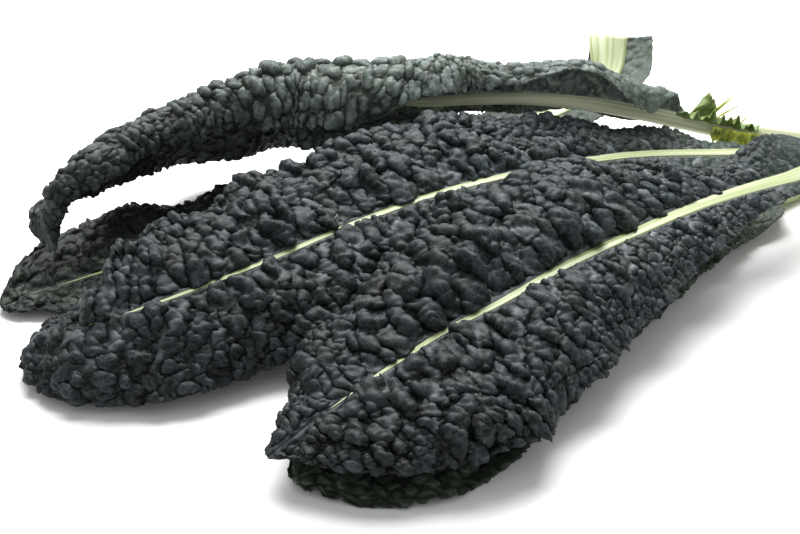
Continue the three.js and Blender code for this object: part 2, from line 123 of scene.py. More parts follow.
ARCHED_STATIONS = [
    (262, 160, 14, 8, 0, 0, 8, 0, 0, 70),
    (223, 149, 24, 8, 0, 0, 8, 0, 0, 70),
    (197, 146, 30, 12, 30, -20, 8, 0, 0, 70),
    (170, 143, 37, 21, 40, -110, 8, -10, -10, 70),
    (140, 140, 45, 40, 45, -160, 8, -10, -20, 70),
    (107, 142, 50, 46, 50, -90, 8, -10, -20, 70),
    (69, 144, 52, 48, 50, -130, 12, -10, -20, 70),
    (38, 150, 49, 62, 50, -130, 16, -10, -20, 70),
    (12, 149, 48, 70, 45, -135, 24, -10, -25, 70),
    (-30, 147, 55, 76, 25, -165, 50, -15, -25, 65),
    (-71, 144, 61, 73, 15, -165, 57, -10, -22, 60),
    (-115, 122, 57, 52, 15, -165, 52, -10, -25, 60),
    (-145, 91, 54, 43, 15, -165, 48, -15, -30, 60),
    (-167, 57, 52, 37, 15, -160, 44, -20, -35, 60),
    (-179, 38, 44, 31, 15, -150, 38, -20, -40, 55),
    (-182, 27, 34, 25, 15, -140, 30, -20, -45, 50),
    (-177, 18, 18, 19, 10, -120, 19, -15, -40, 45),
]

STATION_VALUES = 10

# The stations are set out round this point, which is the frame's origin
PILE_CENTRE = np.array((46.8, 42.4, 0.0))

# Margin waves, and how far from the tip the outline starts to round off
WAVE_HEIGHT = 2.5
WAVE_LENGTH = 58
TIP_ROUNDS_FROM = 0.86
TIP_FULLNESS = 0.985
NARROWEST_BLADE = 0.5
FAR_WAVE_SHIFT = 2
LEAST_TURN = 1e-4

# Midrib
RIB_END_HALF_WIDTH = 0.6
RIB_TAPER = 1.2
RIB_MIN_DEPTH = 1.1
RIB_RINGS = 150
RIB_SIDES = 28
RIB_ENDS_AT = 0.93
RIB_POINT_LENGTH = 0.1
RIB_CROWN = 0.3
RIB_BELLY = 1.25
RIB_GROOVE = 0.035
RIB_GROOVES = 7
RIB_POINT_SHARE = 0.02
CROWN_POWER = 0.5
BELLY_POWER = 0.9
DIRECTION_STEP = 0.004

# How much wider some midribs are at the stem, and the share of the leaf over which that fades out
BASE_FLARE = (0.5, 0.12)
STEM_FLARE = (0.28, 0.45)
NO_FLARE = (0, 1)

# The torn yellowing frills that are left on the arched leaf's stalk. Their folds are three waves, each
# with its share of the height and its share of the length.
FRILL_GAP = 0.9
FRILL_END_WIDTH = 0.3
FRILL_ROWS = 150
FRILL_COLUMNS = 16
FRILL_THICKNESS = 0.6
FRILL_NICK_LENGTH = 5.3
FRILL_NICK_SHARE = 0.12
FRILL_FULLNESS = 0.6
FRILL_FOLDS = ((0.7, 1), (0.45, 0.62), (0.3, 1.7))
FOLD_SLANT = 1.5
RIPPLE_SHARE = 0.5
LEAN_POWER = 1.5
LAST_PHASE = 6
FIBRE_RADIUS = 0.9
FIBRE_TAPER = 0.7
FIBRE_BEND = 1.4
FIBRE_RINGS = 24
FIBRE_SIDES = 6

# How the leaves settle on each other and on the surface
STACK_GAP = 9.2
GRID_ROWS = 48
GRID_COLUMNS = 20
GRID_SAMPLES = 4
HEIGHT_CELL = 4
HEIGHT_REACH = 2
FIELD_HALF_LENGTH = 320
FIELD_SIZE = round(2 * FIELD_HALF_LENGTH / HEIGHT_CELL)
SPREAD_ROWS = 3
SPREAD_COLUMNS = 2
HELD_WIDTH = 12
LOWEST_SURFACE = 1.5
EMPTY_HEIGHT = -50

# Blisters are packed at random. They are wide beside the midrib and small at the margin, and longer out
# from the midrib than along it. Widths are for a half that is 60 mm wide.
INNER_BLISTER = 13.5
OUTER_BLISTER = 6
FULL_HALF_WIDTH = 60
SMALLEST_SCALE = 0.6
LARGEST_SCALE = 1.12
BLISTER_STRETCH = 1.8
BLISTER_TRIES = 7000
WIDTH_SAMPLES = 200
WIDEST_SAMPLES = 60
PAST_MARGIN = 1.04
NARROWING = 0.8
RIB_CLEARANCE = 0.4
MIRROR_REACH = 1.2
LEAST_FILL = 1e-6
CLOSEST_SHARE = 0.76
SIZE_VARIATION = 0.4
VEIN_SLANT = 0.35
BLISTER_DIP = 2.6
BLISTER_VARIATION = 0.4
BLISTER_ROUNDNESS = 0.75
WARP_REACH = 1.5
WARP_LENGTH = 11
WARP_SPREAD = (0.6, 1.6)
WARP_WAVES = 5
CELL_SHARPNESS = 6
CELL_NEIGHBOURS = 8
KNOB_SPACING = 4.2
KNOB_JITTER = 0.42
SWELL_HEIGHT = 1.8
SWELL_LENGTH = 34
SWELL_SPREAD = (0.7, 1.4)
SWELL_WAVES = 6
SWELL_PEAK = 3
UNDER_RIB_DEPTH = 0.9
UNDER_RIB_MARGIN = 0.6
RIB_MARGIN = 3.2
LOWEST_UPPER_FACE = 0.7

# Side veins run out from the midrib and towards the tip, in a trough between the blisters
VEIN_SPACING = 24
VEIN_LEAN = 0.9
VEIN_WIDTH = 0.75
VEIN_TROUGH = 2.4
VEIN_RISE = 0.5
TROUGH_SHARE = 0.6
EDGE_VEIN = 0.45
SIDE_VEIN = 0.7
VEINS_FADE = (0.3, 0.85)

# How far out in a cell the painted shade of its crease, of its knobs' creases and the pale line along its
# edge begin, how strong the painted shade in the knobs' creases is, and how much of the line is lost towards
# the margin, from where on
CREASE_SHADE_FROM = 0.4
KNOB_SHADE_FROM = 0.5
EDGE_LINE_FROM = 0.84
KNOB_SHADE = 0.5
KNOB_MIDDLE = 0.6
EDGE_LINE_LOSS = 0.7
EDGE_LINE_FADES_FROM = 0.2

# A blade is narrow where it starts beside the stalk, and its blisters are low there
BLADE_START_WIDTH = 0.12
BLADE_START_LENGTH = 0.09
FLAT_START_LENGTH = 0.28
FIRST_SEED = 11
SEEDS_A_LEAF = 10
FRILL_SEEDS = 100


def smooth_step(low, high, values):
    """0 below low, 1 above high and an even ramp between them."""
    t = np.clip((values - low) / (high - low), 0, 1)
    return t * t * (3 - 2 * t)


def unit(vectors):
    """The same directions at length 1."""
    return vectors / np.linalg.norm(vectors, axis=-1, keepdims=True)


def tip_rounding(s):
    """Share of the full width that is left towards the tip, where the outline closes as an ellipse does."""
    k = np.clip((s - TIP_ROUNDS_FROM) / (1 - TIP_ROUNDS_FROM), 0, 1) * TIP_FULLNESS
    return np.sqrt(1 - k * k)


class Leaf:
    """One leaf's smooth surface: s runs from 0 at the cut stem to 1 at the tip, and v from -1 at the near
    margin through 0 at the midrib to 1 at the far margin."""

    def __init__(self, name, stations, rib_half_width, blade_from, **looks):
        self.name = name
        self.stations = np.array(stations, float)
        self.turned = self.stations.shape[1] == STATION_VALUES
        if not self.turned:
            self.stations = np.pad(self.stations, ((0, 0), (0, 1)))
        self.rib_half_width = rib_half_width
        self.blade_from = blade_from
        self.looks = looks
        steps = np.linalg.norm(np.diff(self.stations[:, :3], axis=0), axis=1)
        places = np.concatenate([[0], np.cumsum(steps)])
        self.length = places[-1]
        self.places = places / self.length
        before = np.maximum(np.arange(len(places)) - 1, 0)
        after = np.minimum(np.arange(len(places)) + 1, len(places) - 1)
        run = (self.places[after] - self.places[before])[:, None]
        self.slopes = (self.stations[after] - self.stations[before]) / run
        self.lift = np.zeros((GRID_ROWS + 1, GRID_COLUMNS + 1))

    def values(self, s):
        """A smooth curve through the stations' values."""
        k = np.clip(np.searchsorted(self.places, s) - 1, 0, len(self.places) - 2)
        span = (self.places[k + 1] - self.places[k])[:, None]
        t = (s - self.places[k])[:, None] / span
        start_weight = 2 * t**3 - 3 * t**2 + 1
        start = start_weight * self.stations[k] + (t**3 - 2 * t**2 + t) * span * self.slopes[k]
        end = (1 - start_weight) * self.stations[k + 1] + (t**3 - t**2) * span * self.slopes[k + 1]
        return start + end

    def rib_half(self, s):
        """Half the midrib's width."""
        return (self.rib_half_width - RIB_END_HALF_WIDTH) * (1 - s) ** RIB_TAPER + RIB_END_HALF_WIDTH

    def rib_frame(self, s):
        """Midrib points, the directions to the near side and upwards, and the values there."""
        before = self.values(np.maximum(s - DIRECTION_STEP, 0))
        after = self.values(np.minimum(s + DIRECTION_STEP, 1))
        values = self.values(s)
        along = unit(after[:, :3] - before[:, :3])
        level = unit(np.cross((0, 0, 1), along))
        upright = np.cross(along, level)
        turn = np.radians(values[:, 9])[:, None]
        side = level * np.cos(turn) + upright * np.sin(turn)
        return values[:, :3], side, np.cross(along, side), values

    def half_width(self, s, far):
        """Width of a half from the midrib's middle to the margin."""
        values = self.values(s)
        width = np.where(far, values[:, 6], values[:, 3]) * tip_rounding(s)
        return np.maximum(width, self.rib_half(s) * tip_rounding(s) + NARROWEST_BLADE)

    def surface(self, s, v):
        """Points and normals before the leaf settles. Each half is an arc across the leaf."""
        rib, side, up, values = self.rib_frame(s)
        far = v >= 0
        width = np.where(far, values[:, 6], values[:, 3])
        tilt_in = np.radians(np.where(far, values[:, 7], values[:, 4]))
        tilt_out = np.radians(np.where(far, values[:, 8], values[:, 5]))
        rounding = tip_rounding(s)
        rib_edge = self.rib_half(s) * rounding
        blade = np.maximum(width * rounding - rib_edge, NARROWEST_BLADE)
        reach = np.abs(v)
        distance = np.maximum(reach * (rib_edge + blade) - rib_edge, 0)
        start = np.minimum(reach * (rib_edge + blade), rib_edge)
        turn = tilt_out - tilt_in
        bend = np.where(np.abs(turn) < LEAST_TURN, LEAST_TURN, turn) / blade
        tilt = tilt_in + bend * distance
        out = start + (np.sin(tilt) - np.sin(tilt_in)) / bend
        rise = (np.cos(tilt_in) - np.cos(tilt)) / bend
        sign = np.where(far, -1, 1)
        point = rib + side * (sign * out)[:, None] + up * rise[:, None]
        normal = up * np.cos(tilt)[:, None] - side * (sign * np.sin(tilt))[:, None]
        phase = 2 * np.pi * s * self.length / WAVE_LENGTH + far * FAR_WAVE_SHIFT
        wave = WAVE_HEIGHT * reach**3 * rounding * np.sin(phase)
        return point + normal * wave[:, None], normal

    def lift_at(self, s, v):
        """How far the leaves below lift these places."""
        a = np.clip(s, 0, 1) * GRID_ROWS
        b = np.clip((v + 1) / 2, 0, 1) * GRID_COLUMNS
        i = np.minimum(a.astype(int), GRID_ROWS - 1)
        j = np.minimum(b.astype(int), GRID_COLUMNS - 1)
        lower = self.lift[i, j] * (1 - b + j) + self.lift[i, j + 1] * (b - j)
        upper = self.lift[i + 1, j] * (1 - b + j) + self.lift[i + 1, j + 1] * (b - j)
        return lower * (1 - a + i) + upper * (a - i)

    def settled(self, s, v):
        """Points and normals of the settled leaf."""
        point, normal = self.surface(s, v)
        point[:, 2] += self.lift_at(s, v)
        return point, normal


LEAVES = [
    Leaf(
        "back_leaf", BACK_STATIONS, 8.5, 0,
        skin="shaded", rows=290, columns=78, relief=0.9, swell=1, flat=0.35, flare=BASE_FLARE,
    ),
    Leaf(
        "under_leaf", UNDER_STATIONS, 6, 0.1,
        skin="green", rows=250, columns=60, relief=0.9, swell=1, flat=0.35, flare=NO_FLARE,
    ),
    Leaf(
        "middle_leaf", MIDDLE_STATIONS, 5.5, 0.08,
        skin="blue_black", rows=430, columns=152, relief=1, swell=1, flat=0.25, flare=NO_FLARE,
    ),
    Leaf(
        "front_leaf", FRONT_STATIONS, 6.8, 0.12,
        skin="blue_black", rows=450, columns=156, relief=1, swell=1, flat=0.12, flare=STEM_FLARE,
    ),
    Leaf(
        "arched_leaf", ARCHED_STATIONS, 6.5, 0.17,
        skin="bloomed", rows=370, columns=122, relief=0.75, swell=0.4, flat=0.5, flare=NO_FLARE,
    ),
]


def grid_samples(grid):
    """A leaf's grid of points with extra samples between its own points."""
    rows = np.arange(GRID_ROWS * GRID_SAMPLES + 1) / GRID_SAMPLES
    columns = np.arange(GRID_COLUMNS * GRID_SAMPLES + 1) / GRID_SAMPLES
    i = np.minimum(rows.astype(int), GRID_ROWS - 1)
    j = np.minimum(columns.astype(int), GRID_COLUMNS - 1)
    a = (rows - i)[:, None, None]
    b = (columns - j)[None, :, None]
    lower = grid[i][:, j] * (1 - b) + grid[i][:, j + 1] * b
    upper = grid[i + 1][:, j] * (1 - b) + grid[i + 1][:, j + 1] * b
    return lower * (1 - a) + upper * a


def field_cell(coordinate):
    """Index in the height field of a coordinate."""
    cell = np.floor((coordinate + FIELD_HALF_LENGTH) / HEIGHT_CELL + 0.5).astype(int)
    return np.clip(cell, 0, FIELD_SIZE - 1)


def lay_down(field, grid):
    """Raises the height field to a leaf that has settled."""
    points = grid_samples(grid).reshape(-1, 3)
    cell_x = field_cell(points[:, 0])
    cell_y = field_cell(points[:, 1])
    for dx in range(-HEIGHT_REACH, HEIGHT_REACH + 1):
        for dy in range(-HEIGHT_REACH, HEIGHT_REACH + 1):
            if dx * dx + dy * dy > HEIGHT_REACH * HEIGHT_REACH + 1:
                continue
            x = np.clip(cell_x + dx, 0, FIELD_SIZE - 1)
            y = np.clip(cell_y + dy, 0, FIELD_SIZE - 1)
            np.maximum.at(field, (x, y), points[:, 2])


def join_window(table, join):
    """Runs a small window over a table of numbers and joins what it sees."""
    edges = ((SPREAD_ROWS, SPREAD_ROWS), (SPREAD_COLUMNS, SPREAD_COLUMNS))
    padded = np.pad(table, edges, mode="edge")
    rows, columns = table.shape
    seen = [
        padded[a : a + rows, b : b + columns]
        for a in range(2 * SPREAD_ROWS + 1)
        for b in range(2 * SPREAD_COLUMNS + 1)
    ]
    return join(np.stack(seen), axis=0)


def lift_table(field, grid):
    """How far each grid point rises to clear the leaves below, spread smoothly."""
    points = grid_samples(grid)
    below = field[field_cell(points[..., 0]), field_cell(points[..., 1])]
    rise = np.maximum(below + STACK_GAP - points[..., 2], 0)
    half = GRID_SAMPLES / 2
    i = np.arange(points.shape[0])
    j = np.arange(points.shape[1])
    need = np.zeros(grid.shape[:2])
    for row in (np.floor((i + half) / GRID_SAMPLES), np.ceil((i - half) / GRID_SAMPLES)):
        for column in (np.floor((j + half) / GRID_SAMPLES), np.ceil((j - half) / GRID_SAMPLES)):
            row_index = np.clip(row, 0, GRID_ROWS).astype(int)[:, None]
            column_index = np.clip(column, 0, GRID_COLUMNS).astype(int)[None, :]
            np.maximum.at(need, (row_index, column_index), rise)
    return join_window(join_window(need, np.max), np.mean)


def hold_beside_rib(leaf, s, v, lift):
    """Lifts a leaf that lies on its side as its midrib is lifted, beside the midrib."""
    if not leaf.turned:
        return lift
    values = leaf.values(s.ravel())
    width = np.where(v.ravel() < 0, values[:, 3], values[:, 6]) * tip_rounding(s.ravel())
    beyond_rib = np.abs(v.ravel()) * width - leaf.rib_half(s.ravel())
    share = np.clip(beyond_rib / HELD_WIDTH, 0, 1).reshape(lift.shape)
    at_rib = lift[:, GRID_COLUMNS // 2][:, None]
    return at_rib + (lift - at_rib) * share


def settle_leaves():
    """Lays the leaves down one by one and notes how far each one is lifted."""
    field = np.full((FIELD_SIZE, FIELD_SIZE), float(EMPTY_HEIGHT))
    for leaf in LEAVES:
        s, v = np.meshgrid(
            np.arange(GRID_ROWS + 1) / GRID_ROWS,
            2 * np.arange(GRID_COLUMNS + 1) / GRID_COLUMNS - 1,
            indexing="ij",
        )
        points, _ = leaf.surface(s.ravel(), v.ravel())
        grid = points.reshape(s.shape + (3,))
        leaf.lift = hold_beside_rib(leaf, s, v, lift_table(field, grid))
        grid[..., 2] = np.maximum(grid[..., 2] + leaf.lift, LOWEST_SURFACE)
        lay_down(field, grid)


# Blisters

def nearest_seeds(points, seeds, count):
    """Indices of the nearest seeds of each point, the nearest first."""
    tree = kdtree.KDTree(len(seeds))
    for index, (x, y) in enumerate(seeds):
        tree.insert((x, y, 0), index)
    tree.balance()
    found = [[index for _, index, _ in tree.find_n((x, y, 0), count)] for x, y in points]
    return np.array(found)


def cell_places(points, seeds):
    """Nearest seed of each point, the offset from it, and how far out in its cell the point is, from 0 at
    the seed to 1 at the cell's edge."""
    near = nearest_seeds(points, seeds, CELL_NEIGHBOURS + 1)
    centre = seeds[near[:, 0]]
    offset = points - centre
    total = np.zeros(len(points))
    for k in range(1, CELL_NEIGHBOURS + 1):
        towards = seeds[near[:, k]] - centre
        share = 2 * np.sum(offset * towards, axis=1) / np.sum(towards * towards, axis=1)
        total += np.maximum(share, 0) ** CELL_SHARPNESS
    return near[:, 0], offset, np.minimum(total ** (1 / CELL_SHARPNESS), 1)


def blister_seeds(leaf, far, draw):
    """Middles of the blisters of one half in millimetres along the leaf and out from the midrib, with the
    width of each. Mirrored ones inside the midrib keep the first cells outside it."""
    s = np.linspace(0, 1, WIDTH_SAMPLES)
    widths = leaf.half_width(s, far)
    ribs = leaf.rib_half(s)
    low = leaf.blade_from * leaf.length - INNER_BLISTER
    high = leaf.length + INNER_BLISTER
    tries = draw.uniform(0, 1, (BLISTER_TRIES, 3))
    seeds = np.zeros((0, 2))
    sizes = np.zeros(0)
    for along_share, out_share, chance in tries:
        along = low + (high - low) * along_share
        width = np.interp(along / leaf.length, s, widths)
        rib = np.interp(along / leaf.length, s, ribs)
        share = PAST_MARGIN * out_share
        out = rib + (width - rib) * share
        scale = np.clip(width / FULL_HALF_WIDTH, SMALLEST_SCALE, LARGEST_SCALE)
        size = scale * (INNER_BLISTER + (OUTER_BLISTER - INNER_BLISTER) * min(share, 1) ** NARROWING)
        size *= 1 + SIZE_VARIATION * (2 * chance - 1)
        if out - rib < RIB_CLEARANCE * size * BLISTER_STRETCH:
            continue
        place = np.array((along + VEIN_SLANT * out, out))
        gap = (seeds - place) / (1, BLISTER_STRETCH)
        if np.any(np.hypot(gap[:, 0], gap[:, 1]) < CLOSEST_SHARE * (sizes + size) / 2):
            continue
        seeds = np.vstack([seeds, place])
        sizes = np.append(sizes, size)
    rib = np.interp(seeds[:, 0] / leaf.length, s, ribs)
    inner = seeds[:, 1] - rib < MIRROR_REACH * sizes
    mirrored = seeds[inner]
    mirrored[:, 1] = 2 * rib[inner] - mirrored[:, 1]
    return np.vstack([seeds, mirrored]), np.append(sizes, sizes[inner])


def knob_seeds(leaf, far, draw):
    """Middles of the small knobs that stand on the blisters, on a jittered lattice."""
    s = np.linspace(0, 1, WIDEST_SAMPLES)
    widest = leaf.half_width(s, far).max()
    along, out = np.meshgrid(
        np.arange(-KNOB_SPACING, leaf.length + 2 * KNOB_SPACING, KNOB_SPACING),
        np.arange(-KNOB_SPACING, widest + 2 * KNOB_SPACING, KNOB_SPACING),
        indexing="ij",
    )
    seeds = np.stack([along.ravel(), out.ravel()], axis=1)
    return seeds + draw.uniform(-KNOB_JITTER, KNOB_JITTER, seeds.shape) * KNOB_SPACING


def wander(place, draw):
    """Moves places a little way along slow random waves, so that the cells' edges aren't straight."""
    moved = place.copy()
    for _ in range(WARP_WAVES):
        turn = draw.uniform(0, 2 * np.pi)
        length = WARP_LENGTH * draw.uniform(*WARP_SPREAD)
        start = draw.uniform(0, 2 * np.pi, 2)
        run = 2 * np.pi * (place[:, 0] * np.cos(turn) + place[:, 1] * np.sin(turn)) / length
        moved[:, 0] += WARP_REACH / 2 * np.sin(run + start[0])
        moved[:, 1] += WARP_REACH / 2 * np.sin(run + start[1])
    return moved


def swells(place, draw):
    """Slow rises and falls of the blade, from -1 to 1, as a sum of a few waves."""
    total = np.zeros(len(place))
    for _ in range(SWELL_WAVES):
        turn = draw.uniform(0, 2 * np.pi)
        length = SWELL_LENGTH * draw.uniform(*SWELL_SPREAD)
        start = draw.uniform(0, 2 * np.pi)
        run = place[:, 0] * np.cos(turn) + place[:, 1] * np.sin(turn)
        total += np.sin(2 * np.pi * run / length + start)
    return total / SWELL_PEAK


def side_veins(place, width):
    """How near each place is to a side vein, from 0 to 1, and the same for the trough that it lies in."""
    phase = (place[:, 0] - VEIN_LEAN * place[:, 1]) / VEIN_SPACING
    gap = np.abs(phase - np.round(phase)) * VEIN_SPACING / math.hypot(1, VEIN_LEAN)
    share = 1 - smooth_step(*VEINS_FADE, place[:, 1] / width)
    return np.exp(-((gap / VEIN_WIDTH) ** 2)) * share, np.exp(-((gap / VEIN_TROUGH) ** 2)) * share


def grid_normals(points):
    """Normals of a grid of points."""
    along = np.gradient(points, axis=0)
    across = np.gradient(points, axis=1)
    return unit(np.cross(along, across))


def blistered_half(leaf, s, v, far, settings, draw):
    """Points of one blistered half, with how much painted shade each point gets down in the creases, how near
    a side vein it is and how high the knobs stand there."""
    stretch = np.array((1, BLISTER_STRETCH))
    seeds, sizes = blister_seeds(leaf, far, draw)
    heights = sizes * settings.blister_share * leaf.looks["relief"]
    heights *= 1 + BLISTER_VARIATION * draw.uniform(-1, 1, len(heights))
    width = leaf.half_width(s, far)
    place = np.stack([s * leaf.length, np.abs(v) * width], axis=1)
    from_rib = place[:, 1] - leaf.rib_half(s)
    fade = smooth_step(0, RIB_MARGIN, from_rib)
    grown = smooth_step(leaf.blade_from, leaf.blade_from + FLAT_START_LENGTH, s)
    fade = fade * (leaf.looks["flat"] + (1 - leaf.looks["flat"]) * grown)
    wandered = place + (wander(place, draw) - place) * fade[:, None]
    index, offset, fill = cell_places(wandered / stretch, seeds / stretch)
    least = np.maximum(fill, LEAST_FILL)
    swell = np.where(fill > LEAST_FILL, np.sin(np.pi / 2 * fill) / least, np.pi / 2)
    swell = np.where(fill < 1, swell, 1)
    moved = place + offset * stretch * ((swell - 1) * fade)[:, None]
    new_s = np.clip(moved[:, 0] / leaf.length, 0, 1)
    new_v = (1 if far else -1) * np.maximum(moved[:, 1] / leaf.half_width(new_s, far), 0)
    point, normal = leaf.settled(new_s, new_v)
    dome = np.cos(np.pi / 2 * fill) ** BLISTER_ROUNDNESS
    scale = np.clip(width / FULL_HALF_WIDTH, SMALLEST_SCALE, 1)
    rise = SWELL_HEIGHT * leaf.looks["swell"] * swells(place, draw) - BLISTER_DIP
    vein, trough = side_veins(wandered, width)
    blister = heights[index] * dome * (1 - TROUGH_SHARE * trough)
    height = (blister + rise * scale + VEIN_RISE * vein) * fade
    height -= UNDER_RIB_DEPTH * smooth_step(UNDER_RIB_MARGIN, 0, from_rib)
    _, _, knob_fill = cell_places(wander(place, draw), knob_seeds(leaf, far, draw))
    knob_dome = np.cos(np.pi / 2 * knob_fill) ** BLISTER_ROUNDNESS
    knob = (knob_dome - KNOB_MIDDLE) * fade * np.sqrt(scale)
    # Painted shade: darker down in the creases between the blisters and between the knobs
    knob_shade = KNOB_SHADE * smooth_step(KNOB_SHADE_FROM, 1, knob_fill)
    crease = 1 - (1 - smooth_step(CREASE_SHADE_FROM, 1, fill)) * (1 - knob_shade)
    line_loss = EDGE_LINE_LOSS * smooth_step(EDGE_LINE_FADES_FROM, 1, place[:, 1] / width)
    edge_line = smooth_step(EDGE_LINE_FROM, 1, fill) * (1 - line_loss)
    vein = np.maximum(SIDE_VEIN * vein, EDGE_VEIN * edge_line)
    return point + normal * height[:, None], crease * fade, vein, knob


def blistered_sheet(leaf, s, v, far, settings, seed):
    """Points of a grid of places on one half, how much painted shade each gets down in the creases and how
    near a side vein.
    """
    draw = np.random.default_rng(seed)
    points, crease, vein, knob = blistered_half(leaf, s.ravel(), v.ravel(), far, settings, draw)
    grid = points.reshape(s.shape + (3,))
    grid = grid + grid_normals(grid) * (knob.reshape(s.shape) * settings.knob_height / MM)[..., None]
    grid[..., 2] = np.maximum(grid[..., 2], LOWEST_UPPER_FACE)
    return grid, crease, vein


# Mesh helpers

def deselect_all():
    """Leaves nothing selected, so that an operator acts on the new piece alone."""
    bpy.ops.object.select_all(action="DESELECT")


def set_points(piece, points):
    """Writes millimetre points in the stations' place to a mesh in the frame's place."""
    moved = (np.asarray(points).reshape(-1, 3) - PILE_CENTRE) * MM
    piece.data.vertices.foreach_set("co", moved.astype(np.float32).ravel())
    piece.data.update()


def new_sheet(name, rows, columns):
    """A flat grid primitive with that many faces each way, named and alone selected. Its vertices run
    along x first."""
    deselect_all()
    bpy.ops.mesh.primitive_grid_add(x_subdivisions=rows, y_subdivisions=columns, size=1)
    sheet = bpy.context.object
    sheet.name = name
    sheet.data.name = name
    return sheet


def sheet_places(sheet):
    """Where each vertex of a grid primitive is, from 0 to 1 along x and along y."""
    corners = np.zeros(len(sheet.data.vertices) * 3, np.float32)
    sheet.data.vertices.foreach_get("co", corners)
    corners = corners.reshape(-1, 3).astype(float)
    return corners[:, 0] + 0.5, corners[:, 1] + 0.5


def store(piece, name, values):
    """Keeps one number for each vertex, for the material to read."""
    attribute = piece.data.attributes.new(name, "FLOAT", "POINT")
    attribute.data.foreach_set("value", np.asarray(values, np.float32).ravel())


def thicken(piece, thickness, under_material=True):
    """Turns a sheet into a closed thin body whose lower side has the second material."""
    modifier = piece.modifiers.new("Thickness", "SOLIDIFY")
    modifier.thickness = thickness
    modifier.offset = -1
    modifier.material_offset = 1 if under_material else 0
    bpy.context.view_layer.objects.active = piece
    bpy.ops.object.modifier_apply(modifier=modifier.name)


def finish_piece(piece, node, materials):
    """Gives a piece its materials and its place in the frame."""
    for material in materials:
        piece.data.materials.append(material)
    piece.data.polygons.foreach_set("use_smooth", [True] * len(piece.data.polygons))
    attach(piece, BODY)
    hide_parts(node)


def close_tube(piece):
    """Joins the two long edges of a rolled-up sheet and closes both ends."""
    bpy.context.view_layer.objects.active = piece
    bpy.ops.object.mode_set(mode="EDIT")
    bpy.ops.mesh.select_all(action="SELECT")
    bpy.ops.mesh.remove_doubles(threshold=MERGE_DISTANCE)
    bpy.ops.mesh.select_all(action="DESELECT")
    bpy.ops.mesh.select_mode(type="EDGE")
    bpy.ops.mesh.select_non_manifold()
    bpy.ops.mesh.fill_holes(sides=0)
    bpy.ops.mesh.select_all(action="SELECT")
    bpy.ops.mesh.normals_make_consistent(inside=False)
    bpy.ops.object.mode_set(mode="OBJECT")


# Materials

# Scales of the skins' patterns, as repeats in a metre. The patches are about 11 and 18 mm wide, the grain
# about 1.4 mm, and the nets' meshes about 3.7 mm above and 14 and 3.3 mm below.
PATCHES = 90
OLIVE_PATCHES = 55
GRAIN = 700
VEIN_NET = 270
COARSE_NET = 70
FINE_NET = 300
FRILL_PATCHES = 160
OLIVE = "262d18"
GREEN_BASE = "48534a"

# Where each pattern begins and ends to count, and the shares that it gives there. The green of the
# base and the painted shade that darkens the tip go by the place along the leaf.
BLOOM_RANGE = {"From Min": 0.35, "From Max": 0.68}
OLIVE_RANGE = {"From Min": 0.5, "From Max": 0.68, "To Max": 0.55}
NET_RANGE = {"From Max": 0.12, "To Min": 0.22, "To Max": 0.0}
GREEN_RANGE = {"From Min": 0.12, "From Max": 0.34, "To Min": 0.8, "To Max": 0.0}
GRAIN_RANGE = {"From Min": 0.3, "From Max": 0.7, "To Min": 0.78, "To Max": 1.25}
TIP_SHADE_RANGE = {"From Min": 0.55, "From Max": 0.8, "To Min": 1.0}
COARSE_RANGE = {"From Max": 0.06, "To Min": 0.55, "To Max": 0.0}
FINE_RANGE = {"From Max": 0.1, "To Min": 0.3, "To Max": 0.0}
YELLOW_RANGE = {"From Min": 0.4, "From Max": 0.6}
STREAK_RANGE = {"From Min": 0.4, "From Max": 0.62}

# Brightness of each skin at its tip as a share of the rest: painted shade that darkens the tips
TIP_SHADE_SHARES = {"blue_black": 0.6, "bloomed": 0.3, "shaded": 0.8, "green": 1.0}


def linear(code):
    """Linear RGBA of an sRGB hex colour."""
    parts = [int(code[i : i + 2], 16) / 255 for i in (0, 2, 4)]
    return tuple(p / 12.92 if p <= 0.04045 else ((p + 0.055) / 1.055) ** 2.4 for p in parts) + (1.0,)


def add_node(material, kind, inputs=None, **settings):
    """Adds one node with its settings, and sets or links its inputs."""
    node = material.node_tree.nodes.new(kind)
    for name, value in settings.items():
        setattr(node, name, value)
    for name, value in (inputs or {}).items():
        if isinstance(value, bpy.types.NodeSocket):
            material.node_tree.links.new(value, node.inputs[name])
        else:
            node.inputs[name].default_value = value
    return node


def new_material(name):
    """An empty node material and its output node."""
    material = bpy.data.materials.new(name)
    material.use_nodes = True
    material.node_tree.nodes.clear()
    return material, material.node_tree.nodes.new("ShaderNodeOutputMaterial")


def finish_skin(material, output, shader):
    """Gives a material its shader."""
    material.node_tree.links.new(shader.outputs["BSDF"], output.inputs["Surface"])
    return material


def mix_colours(material, share, first, second):
    """Colour socket that goes from the first colour to the second."""
    node = add_node(material, "ShaderNodeMix", {0: share, 6: first, 7: second}, data_type="RGBA")
    return node.outputs[2]


def grown_skin(material, colour, roughness, bump):
    """Leaf skin of a colour under a dull wax: almost no gloss."""
    return add_node(material, "ShaderNodeBsdfPrincipled", {
        "Base Color": colour,
        "Roughness": roughness,
        "Specular IOR Level": 0.15,
        "Normal": bump,
    })


